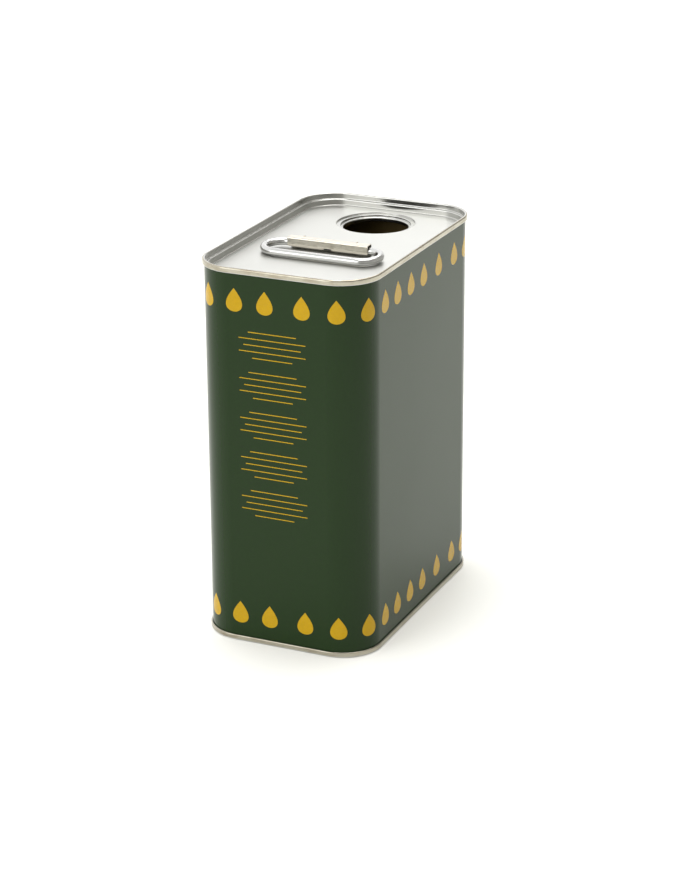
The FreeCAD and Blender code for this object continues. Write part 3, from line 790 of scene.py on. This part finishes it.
class OILTIN_OT_body(bpy.types.Operator):
    """Makes the printed body with its hooks, its bare weld margin and the lap of the side weld"""

    bl_idname = "oil_tin.body"
    bl_label = "Body"

    def execute(self, context):
        size, finish = context.scene.oil_tin_sizes, context.scene.oil_tin_finish
        at = layers(size)
        crest, fold = BODY_HOOK_CREST, size.body_gauge / 2
        hook_end = size.seam_height - size.end_gauge - BODY_HOOK_CLEARANCE
        top = size.height
        inner, outer = crest + size.body_gauge, size.body_gauge
        hook = [
            (at.fold_out, crest, outer),
            (at.fold_out, hook_end, fold),
            (at.fold_in, hook_end, fold),
            (at.fold_in, inner, fold),
            (at.wall_out, inner, fold),
        ]
        corners = [
            *((out, up, bend, PRINTED) for out, up, bend in hook),
            *((out, top - up, bend, PRINTED) for out, up, bend in hook[::-1]),
            (at.wall_in, top - crest, outer, BODY_LACQUER),
            (at.wall_in, crest, outer, BODY_LACQUER),
        ]
        mesh = bmesh.new()
        carry(mesh, rounded(corners, closed=True), lambda out: plan(size, out), closed=True)
        for face in mesh.faces:
            middle = face.calc_center_median()
            if face.material_index == PRINTED and middle.y > 0 and abs(middle.x) < size.weld_margin:
                face.material_index = BARE
        # The lap's foot goes into the wall, so that no gap shows under it
        half, rise = size.weld_width / 2, size.weld_rise
        flat = half * LAP_CREST
        back = at.half_depth
        low = size.seam_height + LAP_CLEARANCE
        section = [(half, -fold), (half, 0), (flat, rise), (-flat, rise), (-half, 0), (-half, -fold)]
        rows = [[mesh.verts.new((x, back + y, z)) for x, y in section] for z in (low, top - low)]
        for i in range(len(section)):
            j = (i + 1) % len(section)
            mesh.faces.new((rows[0][i], rows[0][j], rows[1][j], rows[1][i])).material_index = LAP
        mesh.faces.new(rows[0][::-1]).material_index = LAP
        mesh.faces.new(rows[1]).material_index = LAP
        materials = [
            varnished_print("green_litho_varnish", finish.green),
            worked_tinplate("bare_tinplate_margin", finish.seam, finish.tarnish, (0.2, 0.34), ALONG_Z),
            flowed_coat("gold_epoxy_lacquer", finish.lacquer, roughness=0.35, pool=6),
            worked_tinplate("side_weld", finish.weld, finish.tarnish, (0.3, 0.45), ALONG_Z),
        ]
        new_piece("printed_body", mesh, materials, "tin", "body_print", "body_wall")
        return {"FINISHED"}


class OILTIN_OT_print(bpy.types.Operator):
    """Prints the two rows of drops round the body and the plain rules on its front"""

    bl_idname = "oil_tin.print"
    bl_label = "Printing"

    def execute(self, context):
        size, printing = context.scene.oil_tin_sizes, context.scene.oil_tin_print
        ink = varnished_print("yellow_litho_varnish", context.scene.oil_tin_finish.yellow)
        flats = 2 * (size.body_width + size.body_depth) - 8 * size.corner_radius
        around = (flats + 2 * math.pi * size.corner_radius) / MM
        weld = around / 2
        last, first = DROPS_SEEN[-1], around + DROPS_SEEN[0]
        before = (weld - DROP_TO_WELD - last) / DROPS_BEFORE_WELD
        after = (first - weld - DROP_TO_WELD) / DROPS_AFTER_WELD
        places = [
            *DROPS_SEEN,
            *(last + before * (i + 1) for i in range(DROPS_BEFORE_WELD)),
            *(weld + DROP_TO_WELD + after * i for i in range(DROPS_AFTER_WELD)),
        ]
        rows = (printing.low_row, printing.high_row)
        points = [(s * MM, row, 0) for row in rows for s in places]
        wrap = wrap_values(size, printing)
        drops = grown(
            "printed_drops",
            drop_tree(),
            points,
            drop_width=printing.drop_width,
            drop_height=printing.drop_height,
            ink=ink,
            **wrap,
        )
        new_piece("printed_drops", drops, (), "tin", "body_print")
        points = [
            (
                printing.rule_middle,
                printing.rule_top - group * printing.rule_group_pitch - line * printing.rule_pitch,
                printing.rule_length * share,
            )
            for group in range(RULE_GROUPS)
            for line, share in enumerate(RULE_SHARES)
        ]
        rules = grown("printed_rules", rule_tree(), points, rule_width=printing.rule_width, ink=ink, **wrap)
        new_piece("printed_rules", rules, (), "tin", "body_print")
        return {"FINISHED"}


class OILTIN_OT_ends(bpy.types.Operator):
    """Makes the lid with its pouring mouth and the base, each with its half of a double seam"""

    bl_idname = "oil_tin.ends"
    bl_label = "Ends"

    def execute(self, context):
        size, finish = context.scene.oil_tin_sizes, context.scene.oil_tin_finish
        at = layers(size)
        materials = [
            rolled_tinplate("matt_tinplate", finish.tinplate, (0.36, 0.44)),
            flowed_coat("end_lacquer", finish.lacquer, roughness=0.35, pool=6),
            worked_tinplate("seamed_tinplate", finish.seam, finish.tarnish, (0.14, 0.3), IN_PLAN),
            rolled_tinplate("drawn_tinplate", finish.tinplate, (0.16, 0.21)),
        ]

        def path(out):
            return plan(size, out)

        lid = bmesh.new()
        ledge, panel = size.lid_ledge_depth, size.lid_panel_depth
        steps = [(at.lid_sink, panel), (at.lid_sink, ledge), (at.chuck_in, ledge)]
        outline = rounded(rim_outline(size, at, steps, lambda depth: size.height - depth))
        under, top = carry(lid, outline, path)
        mouth = rounded(mouth_outline(size, at))
        mouth_top, mouth_under = carry(lid, mouth, lambda radius: ring((0, at.mouth_y), radius))
        cap(lid, (top, mouth_top), 1, PANEL)
        cap(lid, (under, mouth_under), -1, END_LACQUER)
        new_piece("lid", lid, materials, "tin", "tinplate", "top_end")

        base = bmesh.new()
        steps = [(at.chuck_in, size.base_panel_depth)]
        outline = rounded(turned_over(rim_outline(size, at, steps, lambda depth: depth)))
        bottom, inside = carry(base, outline, path)
        cap(base, (bottom,), -1, PANEL)
        cap(base, (inside,), 1, END_LACQUER)
        new_piece("base", base, materials, "tin", "tinplate", "bottom_end")
        return {"FINISHED"}


class OILTIN_OT_seals(bpy.types.Operator):
    """Gives the sealing rings inside the seams their finish"""

    bl_idname = "oil_tin.seals"
    bl_label = "Seam compound"

    def execute(self, context):
        colour = context.scene.oil_tin_finish.compound
        compound = flowed_coat("cured_seam_compound", colour, roughness=0.7, pool=0.8)
        for name in ("top_seam_compound", "bottom_seam_compound"):
            mesh = frame["nodes"][name].data
            mesh.materials.clear()
            mesh.materials.append(compound)
        return {"FINISHED"}


class OILTIN_OT_strap(bpy.types.Operator):
    """Makes the folded strap that holds the wire, with its cut edges eased"""

    bl_idname = "oil_tin.strap"
    bl_label = "Handle strap"

    def execute(self, context):
        edge_round = context.scene.oil_tin_handle.edge_round
        mesh = bmesh.new()
        mesh.from_mesh(frame["nodes"]["handle_bracket"].data)
        bmesh.ops.remove_doubles(mesh, verts=mesh.verts, dist=SAME_POINT)
        bmesh.ops.dissolve_limit(mesh, angle_limit=FLAT_TURN, verts=mesh.verts, edges=mesh.edges)
        cut = [e for e in mesh.edges if e.is_manifold and e.calc_face_angle() > CUT_TURN]
        bmesh.ops.bevel(
            mesh, geom=cut, offset=edge_round, segments=2, profile=0.5, affect="EDGES", clamp_overlap=True
        )
        mesh.normal_update()
        # Faces that point up, and the faces of the down-turned lip, get a toned copy of the finish: painted
        # shading, not wear
        for face in mesh.faces:
            lip = face.normal.y < 0 and LIP_LOW < face.normal.z < LIP_HIGH
            face.material_index = TOP_AND_LIP_SHADING if lip or face.normal.z > TOP_LOW else SATIN
        finish = context.scene.oil_tin_finish
        materials = [
            worked_tinplate("satin_strap_steel", finish.strap, finish.tarnish, (0.28, 0.42), ALONG_X),
            worked_tinplate("strap_steel_painted_shading", finish.strap_top_and_lip_shading, finish.strap, (0.12, 0.24), ALONG_X),
        ]
        new_piece("strap", mesh, materials, "tin", "strap_steel", "handle_bracket")
        return {"FINISHED"}


class OILTIN_OT_wire(bpy.types.Operator):
    """Makes the wire handle, lying forward on the lid"""

    bl_idname = "oil_tin.wire"
    bl_label = "Wire handle"

    def execute(self, context):
        size, handle = context.scene.oil_tin_sizes, context.scene.oil_tin_handle
        steel = drawn_wire("bright_drawn_wire", context.scene.oil_tin_finish.wire)
        hinge = Vector(frame["joints"][0]["pos_m"])
        panel = size.height - size.lid_panel_depth
        drop = hinge.z - panel - handle.wire_diameter / 2 - handle.rest_gap
        mesh = grown(
            "wire_handle",
            wire_tree(),
            [(0, 0, 0)],
            bail_length=handle.bail_straight + handle.bail_width,
            bail_width=handle.bail_width,
            wire_radius=handle.wire_diameter / 2,
            tilt=math.asin(drop / handle.bail_width),
            hinge=hinge,
            steel=steel,
        )
        new_piece("wire_handle", mesh, (), "handle", "wire_steel", "handle_wire")
        return {"FINISHED"}


class OILTIN_OT_stage(bpy.types.Operator):
    """Sets up the floor, the soft studio light and the camera"""

    bl_idname = "oil_tin.stage"
    bl_label = "Stage"

    def execute(self, context):
        scene = context.scene
        scene.view_settings.view_transform = "Standard"
        sheet = bpy.data.meshes.new("studio_floor")
        corners = [(x * FLOOR_REACH, y * FLOOR_REACH) for x, y in ((-1, -1), (1, -1), (1, 1), (-1, 1))]
        sheet.from_pydata([(x, y, -FLOOR_DROP) for x, y in corners], [], [(0, 1, 2, 3)])
        # Matt white card: it spreads the light, and glows faintly so that it stays white round the tin
        white = (*scene.oil_tin_finish.floor, 1)
        material, _, _ = new_material(
            "matt_floor",
            base_color=white,
            roughness=0.9,
            specular_ior_level=0.1,
            emission_color=white,
            emission_strength=FLOOR_GLOW,
        )
        sheet.materials.append(material)
        floor = bpy.data.objects.new("studio_floor", sheet)
        scene.collection.objects.link(floor)

        world = bpy.data.worlds.new("studio")
        scene.world = world
        world.use_nodes = True
        tree = world.node_tree
        aim = add(tree, "ShaderNodeTexCoord").outputs["Generated"]
        # Pale walls on the left, which the lid and the rims mirror, and a dim room on the right
        near = add(tree, "ShaderNodeVectorMath", {0: aim, 1: PALE_SIDE}, operation="DOT_PRODUCT")
        blend = add(
            tree,
            "ShaderNodeMapRange",
            {"Value": near.outputs["Value"], "From Min": -PALE_BLEND, "From Max": PALE_BLEND},
            interpolation_type="SMOOTHSTEP",
        )
        room = add(
            tree,
            "ShaderNodeMix",
            {0: blend.outputs["Result"], MIX_A: DIM_ROOM, MIX_B: PALE_WALLS},
            data_type="RGBA",
        )
        tree.links.new(room.outputs[MIX_RESULT], tree.nodes["Background"].inputs["Color"])

        for name, place, width, power, tilt, turn in SOFTBOXES:
            lamp = bpy.data.lights.new(name, "AREA")
            lamp.shape, lamp.size, lamp.energy = "SQUARE", width, power
            light = bpy.data.objects.new(name, lamp)
            scene.collection.objects.link(light)
            light.location = place
            light.rotation_euler = (math.radians(tilt), 0, math.radians(turn))

        azimuth, elevation, roll = (math.radians(angle) for angle in CAMERA_ANGLES)
        level = math.cos(elevation)
        back = Vector((math.sin(azimuth) * level, -math.cos(azimuth) * level, math.sin(elevation)))
        lens = bpy.data.cameras.new("photo_camera")
        lens.sensor_width, lens.lens = SENSOR, LENS
        lens.clip_start, lens.clip_end = NEAREST, FARTHEST
        camera = bpy.data.objects.new("photo_camera", lens)
        scene.collection.objects.link(camera)
        turn = back.to_track_quat("Z", "Y").to_matrix() @ Matrix.Rotation(roll, 3, "Z")
        camera.matrix_world = Matrix.Translation(CAMERA_PLACE) @ turn.to_4x4()
        scene.camera = camera
        return {"FINISHED"}


PIECES = (
    OILTIN_OT_body,
    OILTIN_OT_print,
    OILTIN_OT_ends,
    OILTIN_OT_seals,
    OILTIN_OT_strap,
    OILTIN_OT_wire,
    OILTIN_OT_stage,
)
GROUPS = {
    "oil_tin_sizes": TinSizes,
    "oil_tin_print": PrintSizes,
    "oil_tin_handle": HandleSizes,
    "oil_tin_finish": Finish,
}


class OILTIN_PT_panel(bpy.types.Panel):
    """Lists the tin's sizes, colours and pieces"""

    bl_label = "Oil tin"
    bl_space_type = "VIEW_3D"
    bl_region_type = "UI"
    bl_category = "Oil tin"

    def draw(self, context):
        for piece in PIECES:
            self.layout.operator(piece.bl_idname)
        for group in GROUPS:
            box = self.layout.box()
            values = getattr(context.scene, group)
            for name in values.__annotations__:
                box.prop(values, name)


def register():
    for kind in (*GROUPS.values(), *PIECES, OILTIN_PT_panel):
        bpy.utils.register_class(kind)
    for name, kind in GROUPS.items():
        setattr(bpy.types.Scene, name, bpy.props.PointerProperty(type=kind))


def unregister():
    for name in GROUPS:
        delattr(bpy.types.Scene, name)
    for kind in (OILTIN_PT_panel, *PIECES, *GROUPS.values()):
        bpy.utils.unregister_class(kind)


def main():
    """Registers the add-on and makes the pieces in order."""
    register()
    for piece in PIECES:
        module, name = piece.bl_idname.split(".")
        getattr(getattr(bpy.ops, module), name)()


if __name__ == "__main__":
    main()
